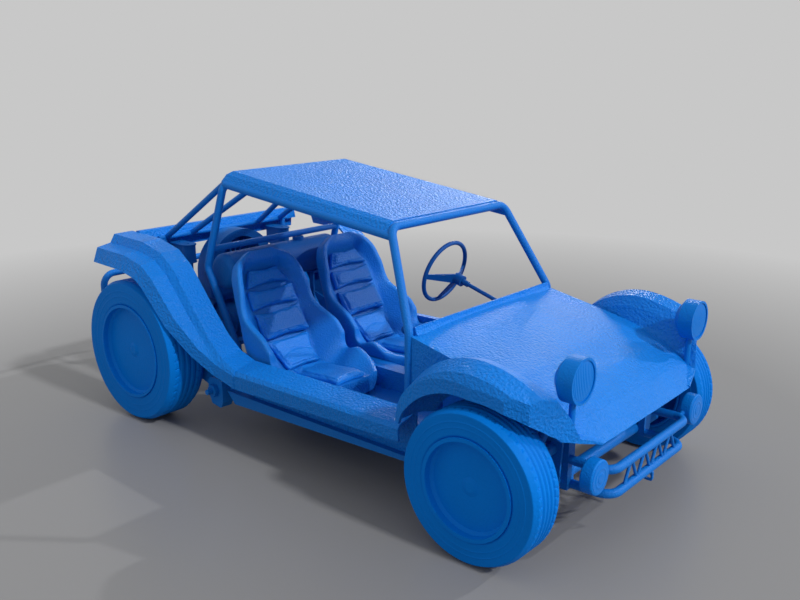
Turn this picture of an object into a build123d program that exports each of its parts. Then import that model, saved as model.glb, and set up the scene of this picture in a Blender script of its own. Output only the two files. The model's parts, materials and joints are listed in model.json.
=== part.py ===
"""A small open dune buggy with a tube frame, a moulded body, two bucket seats and a rear engine.

Millimetres. X points forward, Y to the vehicle's left, Z up from the ground under its middle.
"""

import math
import os

from build123d import *

# The road wheels. Each tyre's outer face lies on WHEEL_FACE_Y. The tyre's shoulder drops below its radius,
# and its height above the rim gives the rim. The lip is the rim's width round the dish, and hub is the
# distance from the outer face to the drum's inner face.
FRONT_AXLE_X = 1245
REAR_AXLE_X = -977
WHEEL_FACE_Y = 806
WHEEL_SIZES = {
    "front": dict(
        x=FRONT_AXLE_X, radius=312, drop=13, height=105, lip=19, width=180, drum=112, hub=125, bore=18.4,
    ),
    "rear": dict(
        x=REAR_AXLE_X, radius=380, drop=15, height=128, lip=18, width=216, drum=130, hub=161, bore=22.4,
    ),
}
TYRE_SHOULDER = 28
WHEEL_DISH = 36
HUB_WALL = 20
STUB_GAP = 5
STUB_END_Y = WHEEL_FACE_Y - WHEEL_DISH - HUB_WALL - STUB_GAP

# The front end that steers.
KINGPIN_Y = 590
PIN_RADIUS = 12
STEER_ARM = 125
ROD_Z = 206
BEAM_X = 1375
BEAM_Z = (237, 387)
BEAM_RADIUS = 27
BEAM_END_Y = 515

# The body.
SKIN = 10
COWL_X = 772
COWL_Z = 765
SILL_INNER_Y = 570
SILL_REAR_X = -230
SILL_FRONT_X = 826

# The tubes of the cage.
HOOP_RADIUS = 20
STAY_RADIUS = 16
HOOP_TOP = (-554, 449, 1275)
HOOP_KINK = (-703, 465, 821)
HOOP_FOOT = (-385, 473, 246)
SCREEN_TOP = (548, 426, 1176)
SCREEN_KNEE = (752, 545, 768)
SCREEN_FOOT = (752, 545, 246)
STAY_BEAM = (-1128, 922)

# The seats and the steering wheel.
SEAT_Y = 300
COLUMN_Y = 300
COLUMN_SLOPE = 17
WHEEL_HUB = (368, 787)
WHEEL_RADIUS = 162
WHEEL_DISH_DEPTH = 89

shapes = {}


def mirrored(shape):
    """The same shape on the other side of the vehicle."""
    return mirror(shape, about=Plane.XZ)


def both(shape):
    """A shape of the left side together with its copy on the right side."""
    return [shape, mirrored(shape)]


def closed(points, radius=0):
    """A flat face through the points, with every corner rounded if a radius is given."""
    face = make_face(Polyline(*points, close=True))
    if radius:
        face = fillet(face.vertices(), radius)
    return face


def side_extrude(face, y_from, y_to):
    """A face drawn in x and z, as a solid between two values of y."""
    low, high = sorted((y_from, y_to))
    return extrude(Plane.XZ.offset(-high) * face, amount=high - low)


def plan_extrude(face, z_from, z_to):
    """A face drawn in x and y, as a solid between two heights."""
    return extrude(Plane.XY.offset(z_from) * face, amount=z_to - z_from)


def front_extrude(face, x_from, x_to):
    """A face drawn in y and z, as a solid between two values of x."""
    return extrude(Plane.YZ.offset(x_from) * face, amount=x_to - x_from)


def block(x, y, z):
    """A box between pairs of coordinates."""
    size = [hi - lo for lo, hi in (x, y, z)]
    middle = [(hi + lo) / 2 for lo, hi in (x, y, z)]
    return Pos(*middle) * Box(*size)


def bar(start, end, radius):
    """A straight round bar."""
    a, b = Vector(*start), Vector(*end)
    return Part() + Solid.make_cylinder(radius, (b - a).length, Plane(origin=a, z_dir=b - a))


def tube(points, radius, bend):
    """A round tube along straight runs that are joined by bends."""
    path = FilletPolyline(*points, radius=bend)
    return sweep(Plane(origin=path @ 0, z_dir=path % 0) * Circle(radius), path=path)


def flip(point):
    """A point moved to the other side."""
    return (point[0], -point[1], point[2])


def hoop(points, radius, bend):
    """A bent tube that is the same on both sides, given by its left half from the foot up."""
    return tube(points + [flip(p) for p in reversed(points)], radius, bend)


def offset_line(points, distance):
    """The points of a chain moved sideways, each along the mean of its neighbours' normals."""
    normals = []
    for (x0, y0), (x1, y1) in zip(points, points[1:]):
        run = math.hypot(x1 - x0, y1 - y0)
        normals.append(((y1 - y0) / run, -(x1 - x0) / run))
    moved = []
    for i, (x, y) in enumerate(points):
        a = normals[max(i - 1, 0)]
        b = normals[min(i, len(normals) - 1)]
        scale = distance / (1 + a[0] * b[0] + a[1] * b[1])
        moved.append((x + (a[0] + b[0]) * scale, y + (a[1] + b[1]) * scale))
    return moved


# Tyres and wheels, turned about their axle. The left ones are drawn and the right ones mirrored.
def tyre(size):
    """A plain tyre with a bevelled shoulder on both sides."""
    w, r = size["width"], size["radius"]
    side, rim = r - size["drop"], r - size["height"]
    profile = closed([
        (rim, 8), (rim + 8, 0), (side, 0), (r, TYRE_SHOULDER),
        (r, w - TYRE_SHOULDER), (side, w), (rim + 8, w), (rim, w - 8),
    ])
    corners = profile.vertices().filter_by(lambda v: v.X > side - 1)
    return revolve(fillet(corners, 9), Axis.Y)


def wheel(size):
    """A dished steel wheel with its brake drum and a blind bore for the stub axle."""
    w, rim = size["width"], size["radius"] - size["height"]
    recess = rim - size["lip"]
    drum_face = w - size["hub"]
    profile = closed([
        (0, w - WHEEL_DISH + 6), (20, w - WHEEL_DISH + 6), (40, w - WHEEL_DISH),
        (recess - 12, w - WHEEL_DISH), (recess, w - WHEEL_DISH + 12), (recess + 3, w + 3), (rim, w + 3),
        (rim, 4), (rim - 4, 0), (rim - 12, 4), (rim - 12, w - WHEEL_DISH - 14),
        (size["drum"], w - WHEEL_DISH - 14), (size["drum"], drum_face), (size["bore"], drum_face),
        (size["bore"], w - WHEEL_DISH - HUB_WALL), (0, w - WHEEL_DISH - HUB_WALL),
    ])
    return revolve(profile, Axis.Y)


for end, size in WHEEL_SIZES.items():
    place = Pos(size["x"], WHEEL_FACE_Y - size["width"], size["radius"])
    for node, solid in (("tyre", place * tyre(size)), ("wheel", place * wheel(size))):
        shapes[f"{node}_{end}_left"] = solid
        shapes[f"{node}_{end}_right"] = mirrored(solid)

# The front axle: two beam tubes with a tower at each side, and an arm with a king post at each end.
front = WHEEL_SIZES["front"]
axle_z = front["radius"]
beam = Part()
for z in BEAM_Z:
    beam += bar((BEAM_X, -BEAM_END_Y, z), (BEAM_X, BEAM_END_Y, z), BEAM_RADIUS)
for side in (-1, 1):
    tower = [(-35, 203), (37, 203), (50, 420), (43, 540), (11, 556), (-23, 540)]
    tower = closed([(BEAM_X + x, z) for x, z in tower], 8)
    beam += side_extrude(tower, side * 400, side * 412)
    beam += block((BEAM_X + 23, BEAM_X + 55), sorted((side * 318, side * 368)), (203, 408))
shapes["front_axle_beam"] = beam

post = bar((FRONT_AXLE_X, KINGPIN_Y, axle_z - 50), (FRONT_AXLE_X, KINGPIN_Y, axle_z + 50), 22)
post += bar((FRONT_AXLE_X, KINGPIN_Y, axle_z - 84), (FRONT_AXLE_X, KINGPIN_Y, axle_z + 84), PIN_RADIUS)
for z, meet in zip(BEAM_Z, (axle_z - 26, axle_z + 26)):
    post += bar((BEAM_X, BEAM_END_Y, z), (BEAM_X, BEAM_END_Y + 14, z), BEAM_RADIUS)
    post += bar((BEAM_X, BEAM_END_Y + 7, z), (FRONT_AXLE_X, KINGPIN_Y, meet), 14) - beam
shapes["front_arms"] = both(post)

knuckle = Part()
for z in (axle_z - 84, axle_z + 54):
    knuckle += bar((FRONT_AXLE_X, KINGPIN_Y, z), (FRONT_AXLE_X, KINGPIN_Y, z + 30), 25)
knuckle_x = (FRONT_AXLE_X - 18, FRONT_AXLE_X + 18)
knuckle += block(knuckle_x, (KINGPIN_Y + 27, KINGPIN_Y + 46), (axle_z - 84, axle_z + 84))
for z in (axle_z - 84, axle_z + 54):
    knuckle += block(knuckle_x, (KINGPIN_Y, KINGPIN_Y + 30), (z, z + 30))
knuckle += bar((FRONT_AXLE_X, KINGPIN_Y + 46, axle_z), (FRONT_AXLE_X, KINGPIN_Y + 62, axle_z), 44)
stub_radius = front["bore"] - 0.4
knuckle += bar((FRONT_AXLE_X, KINGPIN_Y + 46, axle_z), (FRONT_AXLE_X, STUB_END_Y, axle_z), stub_radius)
arm_end = (FRONT_AXLE_X - STEER_ARM, KINGPIN_Y)
knuckle += plan_extrude(
    closed([
        (FRONT_AXLE_X - 6, KINGPIN_Y - 24), (FRONT_AXLE_X - 10, KINGPIN_Y + 20),
        (arm_end[0] - 10, arm_end[1] + 12), (arm_end[0] - 10, arm_end[1] - 12),
    ]), axle_z - 84, axle_z - 68)
knuckle += bar((*arm_end, ROD_Z - 12), (*arm_end, axle_z - 76), 8)
knuckle += bar((*arm_end, ROD_Z + 6.3), (*arm_end, axle_z - 76), 14)
knuckle -= bar((FRONT_AXLE_X, KINGPIN_Y, 150), (FRONT_AXLE_X, KINGPIN_Y, 480), PIN_RADIUS + 0.3)
shapes["knuckle_left"] = knuckle
shapes["knuckle_right"] = mirrored(knuckle)

# The track rod. Its end plates have slots, because the arms' pins move on arcs.
rod = bar((arm_end[0] + 6, -arm_end[1] + 22, ROD_Z), (arm_end[0] + 6, arm_end[1] - 22, ROD_Z), 10)
for side in (-1, 1):
    plate = SlotCenterToCenter(14, 44) - SlotCenterToCenter(14, 18.6)
    rod += plan_extrude(Pos(arm_end[0] + 6, side * arm_end[1]) * plate, ROD_Z - 6, ROD_Z + 6)
shapes["track_rod"] = rod

# The chassis: a floor with a tunnel and a toe board, two side rails, and the tube frame at the front.
floor_plan = [(-426, -560), (760, -560), (872, -420), (872, 420), (760, 560), (-426, 560)]
floor = plan_extrude(closed(floor_plan), 236, 246)
floor += side_extrude(closed([(864, 236), (872, 236), (942, 446), (934, 450)]), -420, 420)
tunnel = front_extrude(closed([(-62, 240), (-46, 345), (46, 345), (62, 240)]), -420, 700)
tunnel -= front_extrude(closed([(-52, 230), (-37, 336), (37, 336), (52, 230)]), -420, 692)
floor += tunnel

rail = side_extrude(closed([(-398, 246), (-340, 188), (800, 222), (826, 246)]), 560, 616)
shapes["side_rails"] = both(rail)

frame = Part()
for side in (-1, 1):
    frame += bar((850, side * 300, 266), (BEAM_X - 10, side * 300, 237), 20)
    frame += bar((800, side * 400, 246), (800, side * 400, 750), 18)
    frame += bar((800, side * 400, 640), (BEAM_X - 17, side * 391, 530), 18)
    frame += bar((850, side * 300, 246), (850, side * 300, 270), 20)
frame += bar((800, -400, 640), (800, 400, 640), 18)
frame += bar((1080, -300, 253), (1080, 300, 253), 18)
frame -= beam
floor -= frame
shapes["front_frame"] = frame

# The front of the body: a hood with a nose, and a bulged fender over each wheel. Each is an outer
# volume with a thinner one taken out of it.
HOOD_STATIONS = [
    # x, half width, height at the edge, rise of the crown
    (COWL_X, 552, 756, 12),
    (1000, 560, 708, 14),
    (1220, 566, 658, 14),
    (1390, 556, 606, 12),
    (1478, 540, 562, 10),
    (1516, 520, 538, 8),
    (1592, 400, 458, 2),
]
NOSE_X = 1500


def hood_volume(inset):
    """Cross sections with an arched top, joined in straight lines."""
    sections = []
    for i, (x, half, edge, crown) in enumerate(HOOD_STATIONS):
        half -= inset
        edge -= inset
        if inset and i == 0:
            x -= 40
            edge += 8
        if inset and x > NOSE_X:
            x -= inset
        low = 440 - 4 * inset
        outline = [
            Line((-half, low), (half, low)),
            Line((half, low), (half, edge)),
            ThreePointArc((half, edge), (0, edge + crown), (-half, edge)),
            Line((-half, edge), (-half, low)),
        ]
        sections.append(Plane.YZ.offset(x) * make_face(outline))
    return loft(sections, ruled=True)


FENDER_X = (832, 958, 1235, 1385, 1510, 1592)
FENDER_STATIONS = [
    # y, then the height of the arch at each of the x above
    (400, (330, 430, 560, 540, 505, 468)),
    (520, (340, 500, 620, 576, 530, 505)),
    (560, (380, 560, 650, 640, 620, 566)),
    (590, (430, 640, 724, 698, 656, 590)),
    (622, (456, 680, 772, 738, 686, 610)),
    (690, (470, 692, 790, 757, 688, 600)),
    (768, (436, 658, 756, 724, 650, 560)),
    (788, (390, 612, 710, 678, 600, 500)),
]
FENDER_PLAN = [
    (780, 400), (800, 640), (806, 712), (900, 768), (1250, 787), (1390, 780), (1471, 740),
    (1507, 650), (1541, 560), (1562, 520), (1592, 400),
]


def fender_volume(inset):
    """Side outlines of the arch at a few distances from the middle, joined in straight lines."""
    sections = []
    for y, heights in FENDER_STATIONS:
        knee, rise, crest, fall, dip, tip = [h - inset for h in heights]
        back, nose = FENDER_X[0] + inset, FENDER_X[5] - inset
        low = 250
        outline = [
            Line((back - 6, low), (back, knee)),
            ThreePointArc((back, knee), (FENDER_X[1], rise), (FENDER_X[2], crest)),
            ThreePointArc((FENDER_X[2], crest), (FENDER_X[3], fall), (FENDER_X[4], dip)),
            Line((FENDER_X[4], dip), (nose, tip)),
            Line((nose, tip), (nose, low)),
            Line((nose, low), (back - 6, low)),
        ]
        if inset and y == FENDER_STATIONS[-1][0]:
            y -= inset
        sections.append(Plane.XZ.offset(-y) * make_face(outline))
    plan = FENDER_PLAN
    if inset:
        plan = [(x + (inset if x < 1000 else -inset), y - inset) for x, y in plan[1:-1]]
        plan = [(FENDER_X[0] - 40, 390)] + plan + [(FENDER_X[5] - inset, 390)]
    return loft(sections, ruled=True) & plan_extrude(closed(plan), 260, 900)


outer = hood_volume(0)
inner = hood_volume(SKIN)
shell = fender_volume(0)
space = fender_volume(SKIN)
front_body = outer + shell + mirrored(shell) - inner - space - mirrored(space)
arch = make_face([
    Line((700, 100), (842, 380)),
    ThreePointArc((842, 380), (960, 582), (1235, 664)),
    ThreePointArc((1235, 664), (1360, 652), (1470, 612)),
    Line((1470, 612), (1530, 518)),
    Line((1530, 518), (1700, 400)),
    Line((1700, 400), (1700, 100)),
    Line((1700, 100), (700, 100)),
])
nose_edge = [(-900, 200), (-900, 700), (-787, 652), (-740, 611), (-680, 575), (-600, 519), (-397, 461)]
nose_edge += [(-y, z) for y, z in reversed(nose_edge)]
for side in (-1, 1):
    front_body -= side_extrude(arch, side * 604, side * 900)
    front_body -= bar((FRONT_AXLE_X, side * 420, axle_z), (FRONT_AXLE_X, side * 610, axle_z), 320)
front_body -= front_extrude(closed(nose_edge), 1380, 1700)
front_body -= block((700, 1700), (-900, 900), (200, 456))
cowl_lip = closed([(757, 744), (784, 757), (776, 765), (771, 775), (768, 791), (760, 791), (757, 776)])
front_body += side_extrude(cowl_lip, -524, 524)
shapes["front_body"] = front_body
shapes["front_frame"] -= front_body

# The sills beside the seats, as channels that are open below.
SILL_STATIONS = [
    # x, height of the inner edge, height of the lower edge
    (SILL_REAR_X, 438, 322),
    (SILL_FRONT_X, 452, 352),
]


def sill_section(x, top, low):
    """An inverted channel: the inner wall, the top and the outer wall."""
    line = [(702, low), (704, top - 46), (690, top - 28), (SILL_INNER_Y + 5, top), (SILL_INNER_Y + 5, 246)]
    return Plane.YZ.offset(x) * closed(line + offset_line(line, -SKIN)[::-1])


sill = loft([sill_section(*row) for row in SILL_STATIONS], ruled=True)
shapes["side_sills"] = both(sill)

# The rear fenders: a stepped strip that sweeps up from the sill, over the wheel and back to the tail.
REAR_STATIONS = [
    # x and z of the inner edge, slope, then y and depth of the edge, the step, the top and the lip
    (-1225, 968, 2, (570, 0), (682, 2), (708, 46), (788, 60), (815, 135)),
    (-960, 958, 7, (570, 0), (682, 2), (708, 46), (788, 60), (815, 136)),
    (-800, 920, 26, (570, 0), (682, 3), (708, 44), (788, 60), (815, 136)),
    (-700, 850, 46, (570, 0), (682, 4), (707, 42), (787, 60), (813, 134)),
    (-540, 662, 49, (570, 0), (682, 6), (705, 40), (774, 60), (796, 130)),
    (-420, 532, 42, (570, 0), (682, 10), (702, 38), (738, 58), (750, 122)),
    (-330, 468, 24, (570, 0), (684, 18), (700, 38), (710, 56), (714, 116)),
    (SILL_REAR_X, 438, 0, (570, 0), (690, 27), (702, 40), (705, 52), (704, 116)),
]


def rear_section(x, z, slope, *line):
    """One stepped section, square to the strip."""
    angle = math.radians(slope)
    plane = Plane(origin=(x, 0, z), x_dir=(0, 1, 0), z_dir=(math.cos(angle), 0, -math.sin(angle)))
    line = [(y, -depth) for y, depth in line]
    return plane * closed(line + offset_line(line, SKIN)[::-1])


rear_fender = loft([rear_section(*row) for row in REAR_STATIONS], ruled=True)
shapes["rear_fenders"] = both(rear_fender)

deck_line = [(-1152, 906), (-1166, 962), (-1178, 962), (-1186, 850)]
rear_deck = side_extrude(closed(deck_line + offset_line(deck_line, SKIN)[::-1]), -569, 569)
shapes["rear_deck"] = rear_deck

# The cage: the hoop behind the seats with its cross bar, the screen frame, the roof rails and the roof.
main_hoop = hoop([HOOP_FOOT, HOOP_KINK, HOOP_TOP], HOOP_RADIUS, 50)
main_hoop += bar((-669, -458, 922), (-669, 458, 922), 17)
main_hoop -= floor
shapes["main_hoop"] = main_hoop

screen = hoop([SCREEN_FOOT, SCREEN_KNEE, SCREEN_TOP], 19, 60)
shapes["windscreen_frame"] = screen

roof_rails = []
for side in (-1, 1):
    roof_rails.append(bar((567, side * 437, 1136), (-556, side * 441, 1266), 18) - screen - main_hoop)
shapes["roof_rails"] = roof_rails

ROOF_RINGS = [
    # front and rear corner of a ring, then how far in and down the inner skin lies, as shares of the skin
    ((544, 440, 1154), (-575, 448, 1281), 1.0, 2.0),
    ((533, 416, 1186), (-557, 427, 1316), 0.75, 0.75),
    ((532, 393, 1198), (-532, 403, 1333), 0.5, 1.0),
]


def roof_volume(skin):
    """A tray, upside down, that is deeper at the back, with its edges bevelled in two steps."""
    faces = []
    for front_end, rear_end, inward, down in ROOF_RINGS:
        corners = []
        for sign, (x, y, z) in ((-1, front_end), (1, rear_end)):
            corners.append((x + sign * inward * skin, y - inward * skin, z - down * skin))
        ring = corners + [flip(p) for p in reversed(corners)]
        faces.append(make_face(Polyline(*ring, close=True)))
    return loft(faces, ruled=True)


# The frame behind the seats: two horns, the uprights with their cross tube, and the tank's posts.
rear_frame = bar((STAY_BEAM[0], -470, STAY_BEAM[1]), (STAY_BEAM[0], 470, STAY_BEAM[1]), 13)
for side in (-1, 1):
    rear_frame += bar((-470, side * 250, 250), (-1190, side * 250, 300), 24)
    upright = [(-1095, side * 250, 294), (-1095, side * 360, 320)]
    upright += [(STAY_BEAM[0], side * 440, STAY_BEAM[1] - 8)]
    rear_frame += tube(upright, 18, 40)
    rear_frame += bar((-655, side * 250, 262), (-668, side * 250, 684), 14)
    rear_frame += block((-710, -626), sorted((side * 225, side * 275)), (676, 690))
tank = bar((-668, -405, 788), (-668, 405, 788), 98)
tank = fillet(tank.edges().filter_by(GeomType.CIRCLE), 34)
rear_frame -= tank
tank += bar((-668, 150, 880), (-668, 150, 903), 32)
shapes["fuel_tank"] = tank

stays = []
rear_stay_cut = main_hoop + rear_frame
for y_top, y_low in ((418, 415), (148, 248)):
    stay = bar((-560, y_top, 1284), (STAY_BEAM[0], y_low, STAY_BEAM[1]), STAY_RADIUS) - rear_stay_cut
    stays += both(stay)
shapes["rear_stays"] = stays

roof_cut = Part() + main_hoop + screen
for cage_tube in roof_rails + stays:
    roof_cut += cage_tube
shapes["roof_panel"] = roof_volume(0) - roof_volume(SKIN) - roof_cut

torsion = bar((-470, -545, 245), (-470, 545, 245), 45)
rear_frame -= torsion
rear_frame -= rear_deck
shapes["rear_frame"] = rear_frame
cover = [
    (-525, 212), (-500, 160), (-430, 150), (-412, 180), (-412, 290), (-440, 305), (-510, 300), (-525, 280),
]
for side in (-1, 1):
    torsion += side_extrude(closed(cover, 8), side * 571, side * 636)
    torsion += Pos(-470, side * 648, 240) * (Rot(90, 0, 0) * extrude(RegularPolygon(34, 6), 12, both=True))
    torsion += bar((-470, side * 640, 240), (-470, side * 690, 240), 14)
    torsion += bar((-470, side * 540, 245), (-470, side * 575, 245), 32)
shapes["torsion_housing"] = torsion

# The rear suspension: a flat arm and an axle tube at each side, and the four dampers.
rear = WHEEL_SIZES["rear"]
rear_z = rear["radius"]
axle = bar((REAR_AXLE_X, 130, rear_z), (REAR_AXLE_X, 556, rear_z), 32)
axle += bar((REAR_AXLE_X, 556, rear_z), (REAR_AXLE_X, 584, rear_z), 30)
axle += bar((REAR_AXLE_X, 571, rear_z), (REAR_AXLE_X, 586, rear_z), 62)
axle += bar((REAR_AXLE_X, 580, rear_z), (REAR_AXLE_X, STUB_END_Y, rear_z), rear["bore"] - 0.4)
shapes["rear_axles"] = both(axle)
arm = [(-420, 205), (-420, 285), (-500, 300), (-960, rear_z + 65), (-1035, rear_z + 50)]
arm += [(-1035, rear_z - 45), (-980, rear_z - 62), (-510, 195)]
rear_arm = side_extrude(closed(arm, 16), 557, 570) - axle - torsion
shapes["rear_arms"] = both(rear_arm)
shapes["floor_pan"] = floor - torsion - rear_arm - mirrored(rear_arm)

DAMPERS = [
    # lower end, upper end, radius of the body
    ((BEAM_X - 57, 546, 262), (BEAM_X + 9, 432, 528), 20),
    ((-890, 532, rear_z - 45), (-1090, 460, 735), 26),
]
dampers = []
for low, high, radius in DAMPERS:
    a, b = Vector(*low), Vector(*high)
    knee = a + (b - a) * 0.42
    damper = bar(low, high, radius * 0.5) + bar(tuple(knee), tuple(b - (b - a) * 0.08), radius)
    if low[0] > 0:
        damper += bar((low[0], 546, low[2]), (low[0] + 0.1, 560, low[2] + 1), 14)
        damper += bar((high[0], 411, high[2]), (high[0], 444, high[2]), 14)
    else:
        damper += bar((low[0], 516, low[2]), (low[0], 558, low[2]), 16)
        damper += bar(high, (-1128, 408, 738), 14)
    damper = damper - post - beam - rear_arm - rear_frame
    dampers += both(damper)
shapes["dampers"] = dampers

# The engine, with its gearbox in front of it.
gearbox = loft([
    Plane.YZ.offset(-700) * (Pos(0, 375) * RectangleRounded(110, 120, 20)),
    Plane.YZ.offset(-860) * (Pos(0, 378) * RectangleRounded(190, 190, 40)),
    Plane.YZ.offset(-1040) * (Pos(0, 382) * RectangleRounded(268, 220, 50)),
], ruled=True)
gearbox += bar((-1039, 0, 400), (-1128, 0, 400), 118)
gearbox += bar((REAR_AXLE_X, -129, rear_z), (REAR_AXLE_X, 129, rear_z), 70)
for side in (-1, 1):
    gearbox += block((-800, -740), sorted((side * 40, side * 252)), (330, 352))
    gearbox += block((-800, -740), sorted((side * 238, side * 262)), (268, 340))
shapes["gearbox"] = gearbox - rear_frame

crankcase = [
    (-120, 340), (-90, 300), (90, 300), (120, 340), (120, 470), (70, 520), (-70, 520), (-120, 470),
]
case = front_extrude(closed(crankcase, 14), -1430, -1129)
case += bar((-1429, 0, 420), (-1462, 0, 420), 78)
for side in (-1, 1):
    for x in (-1215, -1345):
        case += bar((x, side * 110, 425), (x, side * 335, 425), 50)
        for fin in range(8):
            y = side * (140 + 24 * fin)
            case += bar((x, y, 425), (x, y + side * 8, 425), 62)
    case += block((-1404, -1156), sorted((side * 330, side * 372)), (362, 492))
    case += block((-1390, -1170), sorted((side * 371, side * 398)), (385, 470))
shapes["engine"] = case

arch_face = make_face([
    Line((-236, 560), (236, 560)), Line((236, 560), (236, 700)),
    ThreePointArc((236, 700), (0, 926), (-236, 700)), Line((-236, 700), (-236, 560)),
])
shroud = front_extrude(arch_face, -1110, -990)
shroud += front_extrude(closed([(-150, 520), (150, 520), (190, 600), (-190, 600)]), -1240, -1010)
shroud -= bar((-985, 0, 735), (-1080, 0, 735), 150)
shroud += bar((-1085, 0, 735), (-1015, 0, 735), 44)
for k in range(12):
    shroud += Pos(-1050, 0, 735) * (Rot(k * 30, 0, 0) * block((-34, 0), (-4, 4), (40, 138)))
shapes["fan_shroud"] = shroud - rear_frame

CARB_X, CARB_Y, CARB_Z = -1070, 350, 887
CLEANER_HEIGHT = 104
cleaner = Pos(CARB_X, CARB_Y)
intake = plan_extrude(cleaner * SlotOverall(170, 78), CARB_Z - CLEANER_HEIGHT, CARB_Z)
for z in (CARB_Z - 6, CARB_Z - CLEANER_HEIGHT):
    intake += plan_extrude(cleaner * SlotOverall(180, 88), z, z + 6)
intake += block((CARB_X - 40, CARB_X + 40), (CARB_Y - 30, CARB_Y + 30), (690, CARB_Z - CLEANER_HEIGHT + 2))
runner = [(CARB_X, CARB_Y, 695), (CARB_X, CARB_Y, 600), (-1280, CARB_Y, 560), (-1280, CARB_Y, 491)]
intake += tube(runner, 17, 45)
for dx in (-42, 42):
    intake -= bar((CARB_X + dx, CARB_Y, CARB_Z - 4), (CARB_X + dx, CARB_Y, CARB_Z + 10), 8)
carburettor_cut = shapes["engine"] + shapes["rear_frame"] + shapes["fan_shroud"]
shapes["carburettors"] = [s - carburettor_cut for s in both(intake)]

exhaust = bar((-1540, -250, 385), (-1540, 250, 385), 66)
exhaust = fillet(exhaust.edges().filter_by(GeomType.CIRCLE), 16)
for side in (-1, 1):
    pipe = [
        (-1345, side * 351, 366), (-1345, side * 351, 345),
        (-1540, side * 300, 345), (-1540, side * 200, 375),
    ]
    exhaust += tube(pipe, 19, 20)
exhaust += bar((-1560, 170, 385), (-1626, 170, 372), 22) - bar((-1590, 170, 379), (-1640, 170, 369), 18)
exhaust -= case
shapes["exhaust"] = exhaust

# The bumpers. The front one has a small zigzag of rods between its two tubes.
bumper = Part()
for x, half, z in ((1611, 352, 334), (1606, 333, 222)):
    bumper += hoop([(1430, half, z), (x, half, z)], 19, 62)
for k in range(8):
    high, low = (334, 222) if k % 2 else (222, 334)
    bumper += bar((1609, -240 + 60 * k, high), (1609, -180 + 60 * k, low), 7)
for side in (-1, 1):
    bumper += bar((1577, side * 352, 342), (1577, side * 377, 346), 11)
bumper += side_extrude(closed([(1586, 170), (1626, 170), (1626, 215), (1586, 215)], 9), -6, 6)
bumper -= bar((1606, -20, 190), (1606, 20, 190), 12)
shapes["front_bumper"] = bumper - beam

guard = hoop([(-1610, 60, 330), (-1610, 545, 330), (-1610, 545, 655)], 20, 70)
guard += bar((-1610, -60, 330), (-1610, 60, 330), 20)
for side in (-1, 1):
    guard += bar((-1191, side * 250, 300), (-1606, side * 250, 328), 20)
guard += side_extrude(closed([(-1626, 275), (-1590, 275), (-1590, 320), (-1626, 320)], 9), -6, 6)
guard -= bar((-1608, -20, 292), (-1608, 20, 292), 12)
shapes["rear_guard"] = guard - shapes["exhaust"] - shapes["rear_frame"]

# Lamps.
LAMP_X, LAMP_Y, LAMP_Z = 1563, 520, 740
LAMP_RADIUS = 90
lamp = bar((LAMP_X, LAMP_Y, LAMP_Z), (LAMP_X - 65, LAMP_Y, LAMP_Z), LAMP_RADIUS)
lamp += Solid.make_cone(LAMP_RADIUS, 52, 30, Plane(origin=(LAMP_X - 65, LAMP_Y, LAMP_Z), z_dir=(-1, 0, 0)))
lamp -= bar((LAMP_X - 6, LAMP_Y, LAMP_Z), (LAMP_X + 5, LAMP_Y, LAMP_Z), LAMP_RADIUS - 10)
lamp += bar((LAMP_X - 46, LAMP_Y, 500), (LAMP_X - 43, LAMP_Y, LAMP_Z - LAMP_RADIUS + 8), 13)
lamp = lamp - outer - shell
shapes["headlamps"] = both(lamp)

small = bar((1559, 447, 347), (1613, 447, 347), 71)
small = fillet(small.edges().filter_by(GeomType.CIRCLE), 8)
shapes["spot_lamps"] = [s - shapes["front_bumper"] for s in both(small)]

tail = bar((-1188, 480, 910), (-1214, 480, 910), 38)
shapes["tail_lamps"] = [s - shapes["rear_deck"] for s in both(tail)]

# The bucket seats, from the top of the back to the front of the cushion. A station gives the place and
# slope of the padded face, the half widths of its flat and of the rim, the rim's height, the depth of the
# flat under the pads, and the thickness of the shell behind the face.
SEAT_STATIONS = [
    (-488, 912, -63, 30, 84, 24, -20, 52),
    (-466, 868, -63, 92, 172, 35, -10, 60),
    (-450, 836, -63, 122, 196, 41, 26, 64),
    (-401, 741, -63, 166, 228, 38, 26, 68),
    (-337, 616, -63, 168, 250, 22, 26, 72),
    (-276, 496, -63, 160, 264, 112, 26, 88),
    (-226, 428, -46, 146, 266, 120, 26, 100),
    (-164, 374, -24, 122, 264, 112, 26, 100),
    (-98, 355, 0, 118, 260, 56, 26, 87),
    (0, 361, 3, 122, 256, 64, 26, 93),
    (96, 368, 3, 126, 246, 12, 26, 100),
    (188, 374, 3, 118, 176, -12, 26, 106),
]
RIM_WIDTH = 30
# The pads, as lengths along the flat of the shell, with their half width and thickness at the two ends.
PAD_RUNS = [
    (6, 101, 104, 154, 22, 22),
    (113, 219, 156, 160, 24, 24),
    (231, 379, 160, 154, 18, 42),
    (388, 584, 150, 112, 24, 24),
    (598, 924, 112, 112, 26, 24),
]


def seat_plane(x, z, slope):
    """The plane across the seat at a station, with its x to the left and its y out of the padded face."""
    angle = math.radians(slope)
    return Plane(origin=(x, 0, z), x_dir=(0, 1, 0), z_dir=(math.cos(angle), 0, math.sin(angle)))


def along(line, distance):
    """The point of a chain at a distance from its start."""
    for (x0, y0), (x1, y1) in zip(line, line[1:]):
        run = math.hypot(x1 - x0, y1 - y0)
        if distance <= run:
            return (x0 + (x1 - x0) * distance / run, y0 + (y1 - y0) * distance / run)
        distance -= run
    return line[-1]


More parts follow.
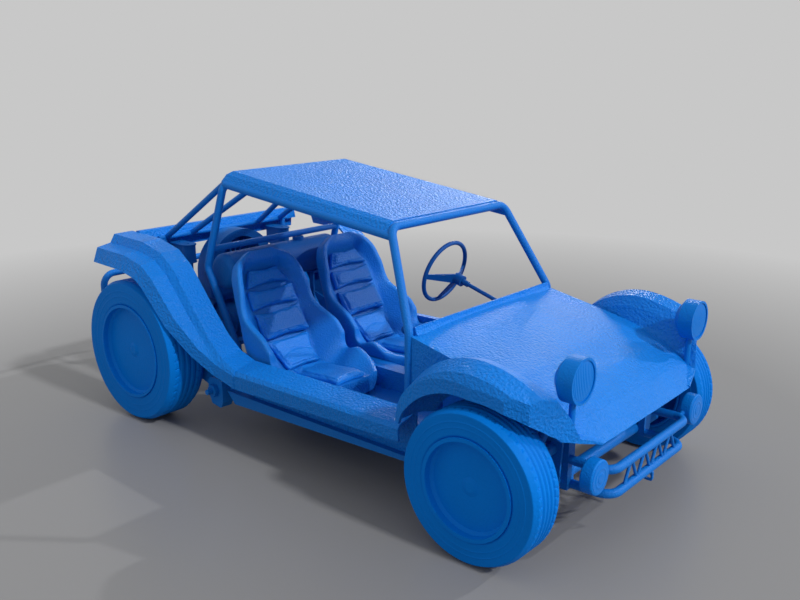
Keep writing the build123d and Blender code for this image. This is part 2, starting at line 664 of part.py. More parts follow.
sections = []
seat_floor = []
for x, z, slope, flat, half, rim, depth, back in SEAT_STATIONS:
    plane = seat_plane(x, z, slope)
    edge = [
        (flat, -depth), (half - RIM_WIDTH, rim), (half - 4, rim), (half, rim - 14),
        (half * 0.93, -back * 0.7), (half * 0.8, -back),
    ]
    outline = edge + [(-t, h) for t, h in reversed(edge)]
    sections.append((plane * closed(outline)).face().outer_wire())
    if depth > 0:
        seat_floor.append((x - depth * plane.y_dir.X, z - depth * plane.y_dir.Z))
seat_shell = Part() + Solid.make_loft(sections, ruled=True)
marks = [0]
for (x0, z0), (x1, z1) in zip(seat_floor, seat_floor[1:]):
    marks.append(marks[-1] + math.hypot(x1 - x0, z1 - z0))
seat_pads = []
for start, stop, half_start, half_stop, thick_start, thick_stop in PAD_RUNS:
    stops = [start] + [m for m in marks if start < m < stop] + [stop]
    under = [along(seat_floor, m) for m in stops]
    raised = offset_line(under, -1)
    over = []
    for m, (x, z), (rx, rz) in zip(stops, under, raised):
        thick = thick_start + (thick_stop - thick_start) * (m - start) / (stop - start)
        over.append((x + (rx - x) * thick, z + (rz - z) * thick))
    widest = max(half_start, half_stop)
    pad = side_extrude(closed(under + over[::-1]), -widest, widest)
    if half_start != half_stop:
        spread = (half_stop - half_start) / (under[0][1] - under[-1][1])
        trim = [(half_start - 90 * spread, under[0][1] + 90), (half_stop, under[-1][1])]
        pad &= front_extrude(closed([(-y, z) for y, z in trim] + trim[::-1]), -600, 400)
    seat_pads.append(pad)
shapes["seat_shells"] = []
shapes["seat_pads"] = []
for y in (SEAT_Y, -SEAT_Y):
    shapes["seat_shells"].append(Pos(0, y, 0) * seat_shell)
    shapes["seat_pads"] += [Pos(0, y, 0) * pad for pad in seat_pads]
runners = []
for y in (SEAT_Y, -SEAT_Y):
    for side in (-1, 1):
        runners.append(block((-150, 150), (y + side * 130 - 18, y + side * 130 + 18), (246, 268)))
shapes["seat_runners"] = runners

# Steering: a jointed column with its box and bracket, and a dished wheel with three spokes.
tilt = math.radians(COLUMN_SLOPE)
ahead = Vector(math.cos(tilt), 0, -math.sin(tilt))
hub = Vector(WHEEL_HUB[0], COLUMN_Y, WHEEL_HUB[1])
knee = hub + ahead * 500
box_at = Vector(1106, COLUMN_Y, 399)
column = bar(tuple(hub), tuple(knee), 10) + bar(tuple(knee), tuple(box_at), 10)
column += bar(tuple(hub + ahead * 36), tuple(hub + ahead * 70), 15)
column += bar((knee.X, COLUMN_Y - 20, knee.Z), (knee.X, COLUMN_Y + 20, knee.Z), 18)
column += block((box_at.X - 50, box_at.X + 50), (255, 345), (box_at.Z - 45, box_at.Z + 45))
column += block((box_at.X - 30, box_at.X + 30), (290, 310), (240, box_at.Z))
column -= shapes["front_frame"]
shapes["steering_column"] = column

dash = block((757, 767), (-522, 522), (560, 746))
dash -= bar(tuple(hub + ahead * 250), tuple(hub + ahead * 700), 17)
for dy, radius in ((-110, 48), (100, 34)):
    dash += front_extrude(Pos(COLUMN_Y + dy, 680) * Circle(radius), 735, 758)
for side in (-1, 1):
    dash += block((766, 783), sorted((side * 378, side * 422)), (600, 650))
shapes["dash_panel"] = dash - front_body - shapes["front_frame"] - screen

WHEEL_PLANE = Plane(origin=hub - ahead * WHEEL_DISH_DEPTH, x_dir=(0, 1, 0), z_dir=-ahead)
steering_wheel = WHEEL_PLANE * Torus(WHEEL_RADIUS, 11)
steering_wheel += bar(tuple(hub - ahead * 14), tuple(hub + ahead * 34), 29)
for angle in (0, 90, 180):
    turn = math.radians(angle)
    place = (WHEEL_RADIUS * math.cos(turn), WHEEL_RADIUS * math.sin(turn), 0)
    spoke_end = Vector(*WHEEL_PLANE.from_local_coords(place))
    way = (spoke_end - hub).normalized()
    spoke = Plane(origin=hub, x_dir=way.cross(ahead).normalized(), z_dir=way)
    start = spoke.offset(16) * Rectangle(50, 10)
    stop = spoke.offset((spoke_end - hub).length - 4) * Rectangle(24, 8)
    steering_wheel += loft([start, stop], ruled=True)
steering_wheel -= bar(tuple(hub), tuple(hub + ahead * 60), 10.4)
shapes["steering_wheel"] = steering_wheel

lever = bar((330, 0, 345), (330, 0, 362), 34)
lever += tube([(330, 0, 355), (330, 0, 470), (270, 0, 560)], 8, 40)
lever += Pos(270, 0, 562) * Sphere(22)
shapes["gear_lever"] = lever

os.makedirs("parts", exist_ok=True)
for name, shape in shapes.items():
    pieces = shape if isinstance(shape, list) else [shape]
    solids = [s for piece in pieces for s in piece.solids()]
    export_step(solids[0] if len(solids) == 1 else Compound(children=solids), f"parts/{name}.step")
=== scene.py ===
"""The looks of an open dune buggy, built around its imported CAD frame.

Metres. X points forward, Y to the vehicle's left, Z up from the ground under its middle.
"""

import json
import math

import bmesh
import bpy
import numpy as np
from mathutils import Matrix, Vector


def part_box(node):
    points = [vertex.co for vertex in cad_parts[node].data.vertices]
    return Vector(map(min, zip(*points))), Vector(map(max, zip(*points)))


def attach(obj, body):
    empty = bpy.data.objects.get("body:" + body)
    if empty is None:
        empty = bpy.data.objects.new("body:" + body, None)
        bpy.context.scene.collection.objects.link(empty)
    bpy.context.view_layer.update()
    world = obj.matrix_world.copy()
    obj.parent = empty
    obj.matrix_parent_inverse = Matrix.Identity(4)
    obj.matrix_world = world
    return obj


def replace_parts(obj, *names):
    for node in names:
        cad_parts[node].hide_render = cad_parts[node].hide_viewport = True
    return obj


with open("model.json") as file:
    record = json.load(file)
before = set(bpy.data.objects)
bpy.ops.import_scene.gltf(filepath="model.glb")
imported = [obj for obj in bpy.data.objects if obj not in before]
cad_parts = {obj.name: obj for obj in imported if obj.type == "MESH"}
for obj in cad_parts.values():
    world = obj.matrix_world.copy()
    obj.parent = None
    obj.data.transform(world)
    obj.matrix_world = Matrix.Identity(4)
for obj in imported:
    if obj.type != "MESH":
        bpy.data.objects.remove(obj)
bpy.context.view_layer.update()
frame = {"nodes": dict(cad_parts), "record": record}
nodes = frame["nodes"]

# The photograph's viewpoint: a 49 degree lens, a little above the roof, at the right front corner.
CAMERA_PLACE = Vector((3.0082, -3.2255, 1.8466))
CAMERA_WAY = Vector((-0.63008, 0.73242, -0.25800))
SENSOR = 36.0
FIELD = math.radians(49.03)
CLIP_END = 200

camera = bpy.data.objects.new("camera", bpy.data.cameras.new("camera"))
camera.data.sensor_width = SENSOR
camera.data.lens = SENSOR / 2 / math.tan(FIELD / 2)
camera.data.clip_end = CLIP_END
camera.location = CAMERA_PLACE
camera.rotation_mode = "QUATERNION"
camera.rotation_quaternion = CAMERA_WAY.to_track_quat("-Z", "Y")
bpy.context.scene.collection.objects.link(camera)
bpy.context.scene.camera = camera
bpy.context.scene.view_settings.view_transform = "Standard"


# The studio: a grey satin floor that fades into a pale backdrop, an even sky, a key lamp far ahead of the
# vehicle, a side lamp at its front left and a rim lamp low behind its left side. The lens and the gloss see
# the sky as plain grey.
def linear(code):
    """An sRGB hex code as linear red, green, blue and alpha."""
    srgb = np.array([int(code[i:i + 2], 16) / 255 for i in (1, 3, 5)])
    return (*np.where(srgb <= 0.04045, srgb / 12.92, ((srgb + 0.055) / 1.055) ** 2.4), 1.0)


def add(tree, kind, links=None, **values):
    """Adds a node, sets its properties and input values by name, and links sockets to its inputs."""
    node = tree.nodes.new(kind)
    for name, value in values.items():
        if name in node.bl_rna.properties:
            setattr(node, name, value)
        else:
            node.inputs[name.replace("_", " ")].default_value = value
    for name, source in (links or {}).items():
        tree.links.new(source, node.inputs[name])
    return node


def blank(name):
    """A new material with an empty node tree, and that tree."""
    material = bpy.data.materials.new(name)
    material.use_nodes = True
    material.node_tree.nodes.clear()
    return material, material.node_tree


BACKDROP = "#c8c8c8"
FLOOR = "#8a8a8b"
FLOOR_HALF = 60.0
FLOOR_ROUGHNESS, FLOOR_GLOSS = 0.34, 0.30
LAMP_DISTANCE = 8
FADE_FROM, FADE_TO = 2.4, 5.8
SKY_LOW, SKY_HIGH = 0.46, 0.60
LAMPS = [
    # name, way to the lamp, strength, width in degrees
    ("key_lamp", Vector((0.784, 0.020, 0.620)), 1.7, 4),
    ("side_lamp", Vector((0.490, 0.715, 0.500)), 0.9, 1),
    ("rim_lamp", Vector((-0.45, 0.82, 0.35)), 0.55, 12),
]

sky = bpy.data.worlds.new("sky")
sky.use_nodes = True
sky.node_tree.nodes.clear()
path = add(sky.node_tree, "ShaderNodeLightPath")
way = add(sky.node_tree, "ShaderNodeTexCoord")
height = add(sky.node_tree, "ShaderNodeSeparateXYZ", {0: way.outputs["Generated"]})
level = add(
    sky.node_tree, "ShaderNodeMapRange", {"Value": height.outputs["Z"]}, To_Min=SKY_LOW, To_Max=SKY_HIGH,
)
light = add(
    sky.node_tree, "ShaderNodeBackground", {"Strength": level.outputs[0]}, Color=(1, 1, 1, 1),
)
seen = add(sky.node_tree, "ShaderNodeBackground", Color=linear(BACKDROP), Strength=1.0)
shown = add(
    sky.node_tree, "ShaderNodeMath",
    {0: path.outputs["Is Camera Ray"], 1: path.outputs["Is Glossy Ray"]}, operation="MAXIMUM",
)
chosen = add(
    sky.node_tree, "ShaderNodeMixShader",
    {0: shown.outputs[0], 1: light.outputs[0], 2: seen.outputs[0]},
)
add(sky.node_tree, "ShaderNodeOutputWorld", {"Surface": chosen.outputs[0]})
bpy.context.scene.world = sky

for name, way, strength, width in LAMPS:
    lamp = bpy.data.objects.new(name, bpy.data.lights.new(name, "SUN"))
    lamp.data.energy = strength
    lamp.data.angle = math.radians(width)
    lamp.location = way * LAMP_DISTANCE
    lamp.rotation_mode = "QUATERNION"
    lamp.rotation_quaternion = (-way).to_track_quat("-Z", "Y")
    bpy.context.scene.collection.objects.link(lamp)

studio_floor, tree = blank("studio_floor")
place = add(tree, "ShaderNodeTexCoord")
reach = add(tree, "ShaderNodeVectorMath", {0: place.outputs["Object"]}, operation="LENGTH")
fade = add(
    tree, "ShaderNodeMapRange", {"Value": reach.outputs["Value"]}, From_Min=FADE_FROM, From_Max=FADE_TO,
)
satin = add(
    tree, "ShaderNodeBsdfPrincipled",
    Base_Color=linear(FLOOR), Roughness=FLOOR_ROUGHNESS, Specular_IOR_Level=FLOOR_GLOSS,
)
far = add(tree, "ShaderNodeEmission", Color=linear(BACKDROP), Strength=1.0)
mixed = add(tree, "ShaderNodeMixShader", {0: fade.outputs[0], 1: satin.outputs[0], 2: far.outputs[0]})
add(tree, "ShaderNodeOutputMaterial", {"Surface": mixed.outputs[0]})

corners = np.array([(-1, -1, 0), (1, -1, 0), (1, 1, 0), (-1, 1, 0)]) * FLOOR_HALF
floor_mesh = bpy.data.meshes.new("floor")
floor_mesh.from_pydata(corners.tolist(), [], [(0, 1, 2, 3)])
floor = bpy.data.objects.new("floor", floor_mesh)
floor_mesh.materials.append(studio_floor)
bpy.context.scene.collection.objects.link(floor)

# The rim lamp is flagged off the floor, so that it leaves no glare there.
flagged = bpy.data.collections.new("flagged_from_rim_lamp")
flagged.objects.link(floor)
bpy.data.objects["rim_lamp"].light_linking.receiver_collection = flagged
flagged.collection_objects[0].light_linking.link_state = "EXCLUDE"


# The tube frame and the running gear: steel tubes bent and welded into hoops, rails and guards, with the
# axle beam, arms, dampers and floor bolted on. All wear a blue powder coat, which melts to a fine, even
# grain.
BROAD_SCALE, BROAD_DETAIL = 4.0, 4.0
GRAIN_DETAIL = 2.0
ROUGHNESS_SWING = 0.06


def painted(name, colour, roughness, peel, depth, vary=0.10, gloss=0.18):
    """A coloured coat with a grain. The grain is noise of the given size and depth in millimetres, and
    broad noise makes the colour and the roughness vary a little from place to place."""
    material, tree = blank(name)
    place = add(tree, "ShaderNodeTexCoord")
    broad = add(
        tree, "ShaderNodeTexNoise", {"Vector": place.outputs["Object"]},
        Scale=BROAD_SCALE, Detail=BROAD_DETAIL,
    )
    dark = tuple(c * (1 - vary) for c in linear(colour)[:3]) + (1.0,)
    pale = tuple(min(1.0, c * (1 + vary)) for c in linear(colour)[:3]) + (1.0,)
    tint = add(tree, "ShaderNodeMix", {"Factor": broad.outputs["Fac"]}, data_type="RGBA")
    tint.inputs[6].default_value = dark
    tint.inputs[7].default_value = pale
    rough = add(
        tree, "ShaderNodeMapRange", {"Value": broad.outputs["Fac"]},
        To_Min=roughness - ROUGHNESS_SWING, To_Max=roughness + ROUGHNESS_SWING,
    )
    grain = add(
        tree, "ShaderNodeTexNoise", {"Vector": place.outputs["Object"]},
        Scale=1000.0 / peel, Detail=GRAIN_DETAIL,
    )
    bump = add(
        tree, "ShaderNodeBump", {"Height": grain.outputs["Fac"]}, Strength=1.0, Distance=depth / 1000,
    )
    shader = add(
        tree, "ShaderNodeBsdfPrincipled",
        {"Base Color": tint.outputs[2], "Roughness": rough.outputs[0], "Normal": bump.outputs[0]},
        Specular_IOR_Level=gloss,
    )
    add(tree, "ShaderNodeOutputMaterial", {"Surface": shader.outputs[0]})
    return material


def wear(material, slot):
    """Gives the material to every CAD node that is made of the slot."""
    for part in frame["record"]["subparts"]:
        if part["material_slot"] == slot:
            mesh = nodes[part["node"]].data
            mesh.materials.clear()
            mesh.materials.append(material)


powder = painted("blue_powder_coat", "#0670cc", 0.46, 7, 3.2)
wear(powder, "frame_powdercoat")

# The engine with its fan shroud, carburettors, exhaust, gearbox and fuel tank: castings and pressings, bolted
# into the frame and brushed with a deeper blue engine paint. The rough metal's grain shows through it.
casting = painted("blue_engine_paint", "#0868bc", 0.50, 8, 3.0)
wear(casting, "engine_paint")

# The moulded body: hood, fenders, sills, dash, rear deck and roof are glass fibre bolted to the tubes. Their
# blue gelcoat is sprayed into the mould, so it has a coarse orange peel that breaks up its soft gloss.
gelcoat = painted("blue_gelcoat", "#067adc", 0.40, 12, 9.0)
wear(gelcoat, "body_gelcoat")

# The controls: a steering wheel on its column and a gear lever, of steel tube and rod. Their paint is the
# darkest of the blues, matt with a fine grain, so they stand back against the seats.
grip = painted("blue_grip", "#0a509c", 0.50, 7, 1.0)
wear(grip, "control_paint")

# The road wheels: pressed steel dishes welded into their rims and bolted to the hubs. Their baked enamel has
# a broader, shallower grain than the frame's powder, and less shine.
enamel = painted("blue_wheel_enamel", "#0077da", 0.45, 12, 1.4, gloss=0.06)
wear(enamel, "wheel_paint")


# The tyres: moulded rubber, blue as the rest and dull. Each has a smooth side with two fine ribs, and a
# shallow road tread: four grooves round it and slanted slots across its outer ribs.
def grid(rows, columns, round_rows=False, round_columns=False):
    """Quads between neighbouring points of a grid, joined end to start where a direction is round."""
    row = np.arange(rows if round_rows else rows - 1)[:, None]
    column = np.arange(columns if round_columns else columns - 1)[None, :]
    next_row, next_column = (row + 1) % rows, (column + 1) % columns
    quads = [
        row * columns + column, row * columns + next_column,
        next_row * columns + next_column, next_row * columns + column,
    ]
    return np.stack(quads, axis=-1).reshape(-1, 4)


CREASE = math.radians(50)


def make_piece(name, points, faces, material, body):
    """A new mesh object with outward faces, smooth but for its creases, that rides on a body and wears the
    given material."""
    mesh = bpy.data.meshes.new(name)
    mesh.from_pydata(np.asarray(points).reshape(-1, 3).tolist(), [], [list(map(int, f)) for f in faces])
    shell = bmesh.new()
    shell.from_mesh(mesh)
    bmesh.ops.recalc_face_normals(shell, faces=shell.faces)
    shell.to_mesh(mesh)
    shell.free()
    mesh.polygons.foreach_set("use_smooth", [True] * len(mesh.polygons))
    mesh.set_sharp_from_angle(angle=CREASE)
    mesh.materials.append(material)
    piece = bpy.data.objects.new(name, mesh)
    bpy.context.scene.collection.objects.link(piece)
    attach(piece, body)
    return piece


rubber = painted("blue_rubber", "#0075d6", 0.55, 10, 1.4, gloss=0.06)
wear(rubber, "tyre_rubber")

TREAD_PITCHES = 54
STEPS_A_PITCH = 8
GROOVE_DEPTH = 0.005
GROOVE_HALF = 0.004
GROOVE_PLACES = (-0.62, -0.2, 0.2, 0.62)
SLOT_SHARE = 0.16
SLOT_SLANT = 9.0
SLOT_DEPTH = 0.8
SLOT_FROM = 0.66
TREAD_SLACK = 0.001
BEAD_WIDTH = 0.008
SHOULDER = 0.028
SIDE_DROP = 0.041
RIB_PLACES = (0.35, 0.62)
RIB_HEIGHT = 0.0016
RIB_SHARE = 0.02
SIDE_POINTS, SHOULDER_POINTS, TREAD_POINTS = 30, 9, 49


def tyre_section(radius, bead, width):
    """The tyre's section as distance from the axle and distance from its middle: from the bead up one side,
    over a bevelled shoulder, across the tread and down the other side."""
    side = radius - SIDE_DROP * radius
    half = width / 2
    up = np.linspace(bead + BEAD_WIDTH, side, SIDE_POINTS)
    share = (up - up[0]) / (up[-1] - up[0])
    ribs = sum(np.exp(-((share - place) / RIB_SHARE) ** 2) for place in RIB_PLACES)
    face = np.stack([up, half - RIB_HEIGHT + RIB_HEIGHT * ribs], axis=1)
    turn = np.linspace(0, 1, SHOULDER_POINTS)[1:-1, None]
    corner_in, corner_out = np.array([side, half]), np.array([radius, half - SHOULDER])
    shoulder = corner_in * (1 - turn) + corner_out * turn
    across = np.linspace(half - SHOULDER, SHOULDER - half, TREAD_POINTS)
    across = np.stack([np.full(TREAD_POINTS, radius), across], axis=1)
    near = np.concatenate([[(bead, half - BEAD_WIDTH)], face, shoulder])
    return np.concatenate([near, across, near[::-1] * (1, -1)])


def tyre(name, node, body):
    """The section turned about the axle. On the tread, the grooves lower the radius in four bands, and the
    slots lower it where the angle, slanted by the place across, falls in the first share of a pitch."""
    low, high = (np.array(c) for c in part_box(node))
    axle = (low + high) / 2
    radius, width = (high - low)[2] / 2, (high - low)[1]
    bead = (np.array(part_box(node.replace("tyre", "wheel"))[1]) - axle)[2]
    section = tyre_section(radius, bead, width)
    angle = np.linspace(0, 2 * np.pi, TREAD_PITCHES * STEPS_A_PITCH, endpoint=False)[:, None]
    away, across = section[None, :, 0], section[None, :, 1]
    tread = width / 2 - SHOULDER
    on_tread = away > radius - TREAD_SLACK
    groove = sum(np.clip(2 - np.abs(across - place * tread) / GROOVE_HALF, 0, 1) for place in GROOVE_PLACES)
    pitch = (angle / (2 * np.pi) * TREAD_PITCHES + SLOT_SLANT * np.abs(across)) % 1
    slot = np.where((pitch < SLOT_SHARE) & (np.abs(across) > SLOT_FROM * tread), SLOT_DEPTH, 0)
    away = away - GROOVE_DEPTH * on_tread * np.maximum(groove, slot)
    points = np.stack([
        axle[0] + away * np.cos(angle),
        axle[1] + across + 0 * angle,
        axle[2] + away * np.sin(angle),
    ], axis=-1)
    piece = make_piece(name, points, grid(*points.shape[:2], True, True), rubber, body)
    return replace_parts(piece, node)


for place in ("front_left", "front_right", "rear_left", "rear_right"):
    tyre(f"road_tyre_{place}", f"tyre_{place}", f"{place}_wheel")


# The bucket seats: a shell pressed over a form and wrapped in grained vinyl, with a rolled rim and raised
# sides that turn into the bolsters. It stands on runners, and the pads are laid into it.
vinyl = painted("blue_vinyl", "#0878d8", 0.46, 8, 5.0, gloss=0.3)
wear(vinyl, "seat_vinyl")

SEAT_Y = 0.300
RIM_WIDTH = 0.030
RIM_EDGE = 0.004
RIM_ROLL = 0.014
HIP, HIP_DEPTH, BASE = 0.93, 0.7, 0.8
SHELL_ROWS, CORNER_POINTS = 90, 5
SIDE_SHARE = 0.45
SEAT_STATIONS = [
    # x and z, slope, half of the flat, half of the rim, rim's height, depth of the flat, back's thickness
    (-0.488, 0.912, -63, 0.030, 0.084, 0.024, -0.020, 0.052),
    (-0.466, 0.868, -63, 0.092, 0.172, 0.035, -0.010, 0.060),
    (-0.450, 0.836, -63, 0.122, 0.196, 0.041, 0.026, 0.064),
    (-0.401, 0.741, -63, 0.166, 0.228, 0.038, 0.026, 0.068),
    (-0.337, 0.616, -63, 0.168, 0.250, 0.022, 0.026, 0.072),
    (-0.276, 0.496, -63, 0.160, 0.264, 0.112, 0.026, 0.088),
    (-0.226, 0.428, -46, 0.146, 0.266, 0.120, 0.026, 0.100),
    (-0.164, 0.374, -24, 0.122, 0.264, 0.112, 0.026, 0.100),
    (-0.098, 0.355, 0, 0.118, 0.260, 0.056, 0.026, 0.087),
    (0.000, 0.361, 3, 0.122, 0.256, 0.064, 0.026, 0.093),
    (0.096, 0.368, 3, 0.126, 0.246, 0.012, 0.026, 0.100),
    (0.188, 0.374, 3, 0.118, 0.176, -0.012, 0.026, 0.106),
]
SEAT_ROUNDING = np.array([0.022, 0.012, 0.008, 0.014, 0.035, 0.035])


def flowing(rows, count):
    """Rows of a table carried smoothly from one to the next. Between two rows runs a cubic whose slope at a
    row is the mean slope there, and the spacing is the distance along the first two columns."""
    rows = np.array(rows, float)
    knots = np.r_[0, np.cumsum(np.hypot(*np.diff(rows[:, :2], axis=0).T))]
    slopes = np.gradient(rows, knots, axis=0)
    at = np.linspace(0, knots[-1], count)
    i = np.clip(np.searchsorted(knots, at, "right") - 1, 0, len(rows) - 2)
    run = (knots[i + 1] - knots[i])[:, None]
    u = (at - knots[i])[:, None] / run
    start = (1 + 2 * u) * (1 - u) ** 2 * rows[i] + u * (1 - u) ** 2 * run * slopes[i]
    return start + u * u * (3 - 2 * u) * rows[i + 1] + u * u * (u - 1) * run * slopes[i + 1]


def rounded(corners, radius, steps):
    """Closed outlines with rounded corners: at a corner, a parabola runs between the points that lie a
    radius away on its two sides, or at most under half a side away."""
    def towards(other):
        length = np.linalg.norm(other - corners, axis=-1, keepdims=True)
        return corners + (other - corners) * np.minimum(radius[None, :, None] / length, SIDE_SHARE)

    u = np.linspace(0, 1, steps)[None, None, :, None]
    start = towards(np.roll(corners, 1, axis=1))[:, :, None]
    stop = towards(np.roll(corners, -1, axis=1))[:, :, None]
    curve = (1 - u) ** 2 * start + 2 * u * (1 - u) * corners[:, :, None] + u ** 2 * stop
    return curve.reshape(len(corners), -1, 2)


def seat_shell(y_middle):
    """Rounded sections square to the seat's line, closed by a flat end at the top and at the front."""
    x, z, slope, flat, half, rim, depth, back = flowing(SEAT_STATIONS, SHELL_ROWS).T
    edge = [
        (flat, -depth), (half - RIM_WIDTH, rim), (half - RIM_EDGE, rim), (half, rim - RIM_ROLL),
        (half * HIP, -back * HIP_DEPTH), (half * BASE, -back),
    ]
    side = np.stack([np.stack(point, axis=-1) for point in edge], axis=1)
    corners = np.concatenate([side, side[:, ::-1] * (-1, 1)], axis=1)
    outline = rounded(corners, np.r_[SEAT_ROUNDING, SEAT_ROUNDING[::-1]], CORNER_POINTS)
    angle = np.radians(slope)[:, None]
    across, height = outline[..., 0], outline[..., 1]
    points = np.stack([
        x[:, None] - height * np.sin(angle), y_middle + across, z[:, None] + height * np.cos(angle),
    ], axis=-1)
    rows, columns = points.shape[:2]
    faces = grid(rows, columns, False, True).tolist()
    faces += [list(range(columns)), list(range((rows - 1) * columns, rows * columns))]
    return points, faces


for place, y_middle in (("left", SEAT_Y), ("right", -SEAT_Y)):
    points, faces = seat_shell(y_middle)
    shell_piece = make_piece(f"seat_shell_{place}", points, faces, vinyl, "chassis")
    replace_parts(shell_piece, "seat_shells")


# The seat pads: five cushions a seat, foam in sewn vinyl covers, laid into the shell. Each swells between
# its edges, a sewn channel runs a finger's width inside them, and one more arches over the lowest back pad.
PAD_VOXEL = 0.005
PAD_SHRINK = 0.004
PAD_CAP = 0.012
PAD_FRAMES = 20
PAD_EDGE, PAD_EDGE_STEPS = 0.009, 3
PAD_PRESSURE = 4
MERGE_DISTANCE = 0.0001
END_BAND = 0.02
FACE_BAND = 0.004
FORWARD_SHARE = 0.3
CHANNEL_INSET = 0.020
CHANNEL_HALF = 0.004
CHANNEL_DEPTH = 0.0035
ARCHED_PAD = 4
ARCH_TOP, ARCH_END = 0.45, 0.70


def loose_parts(node):
    """Copies of a CAD node's solids, each as its own object with its doubles merged."""
    copy = nodes[node].copy()
    copy.data = nodes[node].data.copy()
    bpy.context.scene.collection.objects.link(copy)
    copy.hide_set(False)
    copy.hide_viewport = False
    bpy.ops.object.select_all(action="DESELECT")
    copy.select_set(True)
    bpy.context.view_layer.objects.active = copy
    bpy.ops.object.mode_set(mode="EDIT")
    bpy.ops.mesh.select_all(action="SELECT")
    bpy.ops.mesh.remove_doubles(threshold=MERGE_DISTANCE)
    bpy.ops.mesh.separate(type="LOOSE")
    bpy.ops.object.mode_set(mode="OBJECT")
    return list(bpy.context.selected_objects)


def apply_modifiers(piece):
    """Replaces an object's mesh by what its modifiers make of it."""
    graph = bpy.context.evaluated_depsgraph_get()
    mesh = bpy.data.meshes.new_from_object(piece.evaluated_get(graph))
    piece.modifiers.clear()
    piece.data = mesh


def coordinates(mesh):
    """The mesh's points as an array of rows."""
    flat = np.empty(len(mesh.vertices) * 3)
    mesh.vertices.foreach_get("co", flat)
    return flat.reshape(-1, 3)


def swollen(piece):
    """Rounds the pad's edges, remeshes it, and lets Cloth with inner pressure swell it. Gives each point's
    place before and how far it moved."""
    bevel = piece.modifiers.new("edge", "BEVEL")
    bevel.width = PAD_EDGE
    bevel.segments = PAD_EDGE_STEPS
    bevel.limit_method = "ANGLE"
    remesh = piece.modifiers.new("voxels", "REMESH")
    remesh.mode = "VOXEL"
    remesh.voxel_size = PAD_VOXEL
    apply_modifiers(piece)
    start = coordinates(piece.data)
    cloth = piece.modifiers.new("cloth", "CLOTH")
    cloth.settings.use_pressure = True
    cloth.settings.uniform_pressure_force = PAD_PRESSURE
    cloth.settings.effector_weights.gravity = 0
    cloth.point_cache.frame_end = PAD_FRAMES
    for step in range(1, PAD_FRAMES + 1):
        bpy.context.scene.frame_set(step)
    apply_modifiers(piece)
    bpy.context.scene.frame_set(1)
    return start, coordinates(piece.data) - start


def pad_axes(points):
    """The pad's middle and its own directions: along its length, which runs down or forwards, and out of its
    face. The length is the way in the XZ plane in which its points spread most."""
    middle = points.mean(axis=0)
    flat = (points - middle)[:, [0, 2]]
    vectors = np.linalg.eigh(flat.T @ flat)[1]
    along = np.array([vectors[0, 1], 0, vectors[1, 1]])
    along *= -np.sign(along[2] - FORWARD_SHARE * along[0])
    out = np.cross(along, (0, 1, 0))
    return middle, along, out * np.sign(out[0] + out[2])


pad_parts = sorted(loose_parts("seat_pads"), key=lambda part: -coordinates(part.data)[:, 2].max())
# A point of a pad moves by the cap at most, and not down into the shell.
for count, part in enumerate(pad_parts):
    base = coordinates(part.data)
    middle, along, out = pad_axes(base)
    place = "left" if middle[1] > 0 else "right"
    reach = (base - middle) @ along
    half_start = np.abs(base[reach < reach.min() + END_BAND, 1] - middle[1]).max()
    half_stop = np.abs(base[reach > reach.max() - END_BAND, 1] - middle[1]).max()
    inner = base - PAD_SHRINK * np.sign(base - middle) * np.array([0, 1, 0])
    part.data.vertices.foreach_set("co", inner.ravel())
    start, move = swollen(part)
    length = np.linalg.norm(move, axis=1, keepdims=True)
    move *= np.minimum(1, PAD_CAP / np.maximum(length, 1e-9))
    lift = move @ out
    points = start + move - np.minimum(lift, 0)[:, None] * out
    reach = (start - middle) @ along
    share = (reach - reach.min()) / (reach.max() - reach.min())
    half = half_start + (half_stop - half_start) * share
    from_ends = np.minimum(reach - reach.min(), reach.max() - reach)
    inset = np.minimum(half - np.abs(start[:, 1] - middle[1]), from_ends)
    channel = np.exp(-((inset - CHANNEL_INSET) / CHANNEL_HALF) ** 2)
    if count // 2 + 1 == ARCHED_PAD:
        arch = ARCH_TOP + (ARCH_END - ARCH_TOP) * ((start[:, 1] - middle[1]) / half) ** 2
        below = (share - arch) * (reach.max() - reach.min())
        channel = np.maximum(channel, np.exp(-(below / CHANNEL_HALF) ** 2))
    upper = (start - middle) @ out > -FACE_BAND
    points -= (CHANNEL_DEPTH * channel * upper)[:, None] * out
    part.data.vertices.foreach_set("co", points.ravel())
    part.data.update()
    part.name = f"seat_pad_{place}_{count // 2 + 1}"
    part.data.name = part.name
    part.data.materials.clear()
    part.data.materials.append(vinyl)
    part.data.polygons.foreach_set("use_smooth", [True] * len(part.data.polygons))
    smooth = part.modifiers.new("smooth", "SUBSURF")
    smooth.levels = smooth.render_levels = 1
    part.hide_render = False
    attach(part, "chassis")
    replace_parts(part, "seat_pads")


# The lamps: spun bowls with a pressed-in lens. A headlamp's glass is a shallow dome with upright flutes, a
# spot lamp's has a ring round a raised eye, and a tail lamp's is ribbed. All are sprayed over in the blue.
lamp_enamel = painted("blue_lamp_enamel", "#0474d2", 0.42, 8, 3.0, gloss=0.10)
wear(lamp_enamel, "lamp_paint")
lens_glass = painted("blue_sprayed_glass", "#0472d0", 0.30, 14, 0.5, gloss=0.12)

LENS_RELIEF = 0.0016
LENS_EDGE = 0.0012
LENS_RINGS, LENS_SPOKES = 60, 120
FIRST_RING = 0.01
RELIEF_END, RELIEF_FADE = 0.93, 0.05
FLUTE_WIDTH = 0.012
SPOT_EYE, SPOT_EYE_EDGE = 0.022, 0.003
SPOT_BEAD, SPOT_BEAD_HALF = 0.038, 0.004


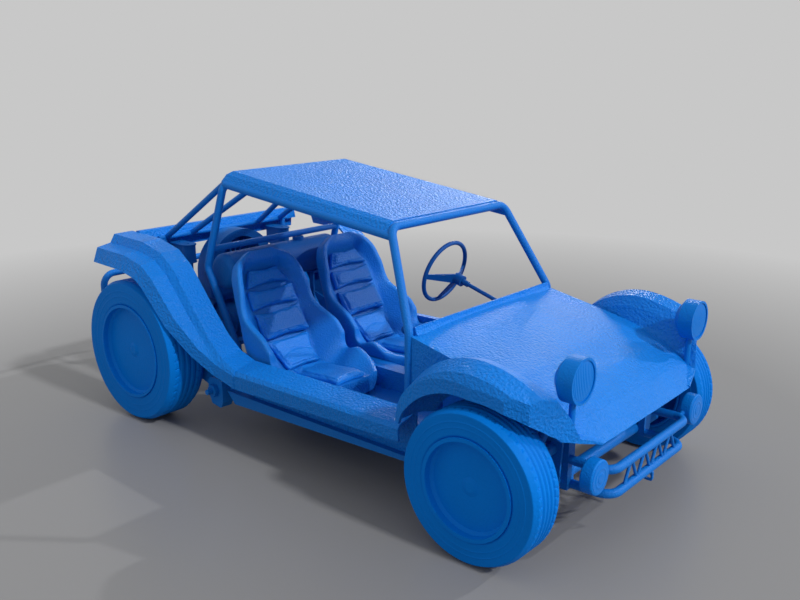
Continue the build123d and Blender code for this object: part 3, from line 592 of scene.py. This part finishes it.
def flutes(side, up):
    """Upright ribs of one width, each half a sine."""
    return LENS_RELIEF * np.abs(np.sin(np.pi * side / FLUTE_WIDTH))


def ringed_eye(side, up):
    """A raised round middle and a bead round it."""
    away = np.hypot(side, up)
    eye = np.clip((SPOT_EYE - away) / SPOT_EYE_EDGE, 0, 1)
    return LENS_RELIEF * (eye + np.exp(-((away - SPOT_BEAD) / SPOT_BEAD_HALF) ** 2))


def level_ribs(side, up):
    """Level ribs, half as wide as a headlamp's flutes."""
    return LENS_RELIEF * np.abs(np.sin(2 * np.pi * up / FLUTE_WIDTH))


LENSES = [
    # node, the bowl's radius, the lens's radius, its seat behind the face, way it faces, bulge, relief
    ("headlamps", 0.090, 0.0795, 0.006, 1, 0.0035, flutes),
    ("spot_lamps", 0.071, 0.060, 0, 1, 0.0020, ringed_eye),
    ("tail_lamps", 0.038, 0.031, 0, -1, 0.0015, level_ribs),
]


def lens(middle, radius, way, bulge, relief):
    """A dome of rings that faces along X. Its height is the bulge's parabola plus the relief, which fades
    out before the edge, and the last ring goes back to the seat."""
    ring = np.r_[np.linspace(FIRST_RING, 1, LENS_RINGS), 1.0][:, None]
    angle = np.linspace(0, 2 * np.pi, LENS_SPOKES, endpoint=False)[None, :]
    side, up = ring * radius * np.cos(angle), ring * radius * np.sin(angle)
    fade = np.clip((RELIEF_END - ring) / RELIEF_FADE, 0, 1)
    height = LENS_EDGE + bulge * (1 - ring ** 2) + relief(side, up) * fade
    height[-1] = 0
    points = np.stack([middle[0] + way * height, middle[1] + side, middle[2] + up], axis=-1)
    rows, columns = points.shape[:2]
    faces = grid(rows, columns, False, True).tolist()
    return points, faces + [list(range(columns)), list(range((rows - 1) * columns, rows * columns))]


for node, bowl, radius, seat, way, bulge, relief in LENSES:
    low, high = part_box(node)
    face = high[0] if way > 0 else low[0]
    for place, side in (("left", 1), ("right", -1)):
        middle = (face - way * seat, side * (high[1] - bowl), high[2] - bowl)
        points, faces = lens(middle, radius, way, bulge, relief)
        make_piece(f"{node}_lens_{place}", points, faces, lens_glass, "chassis")
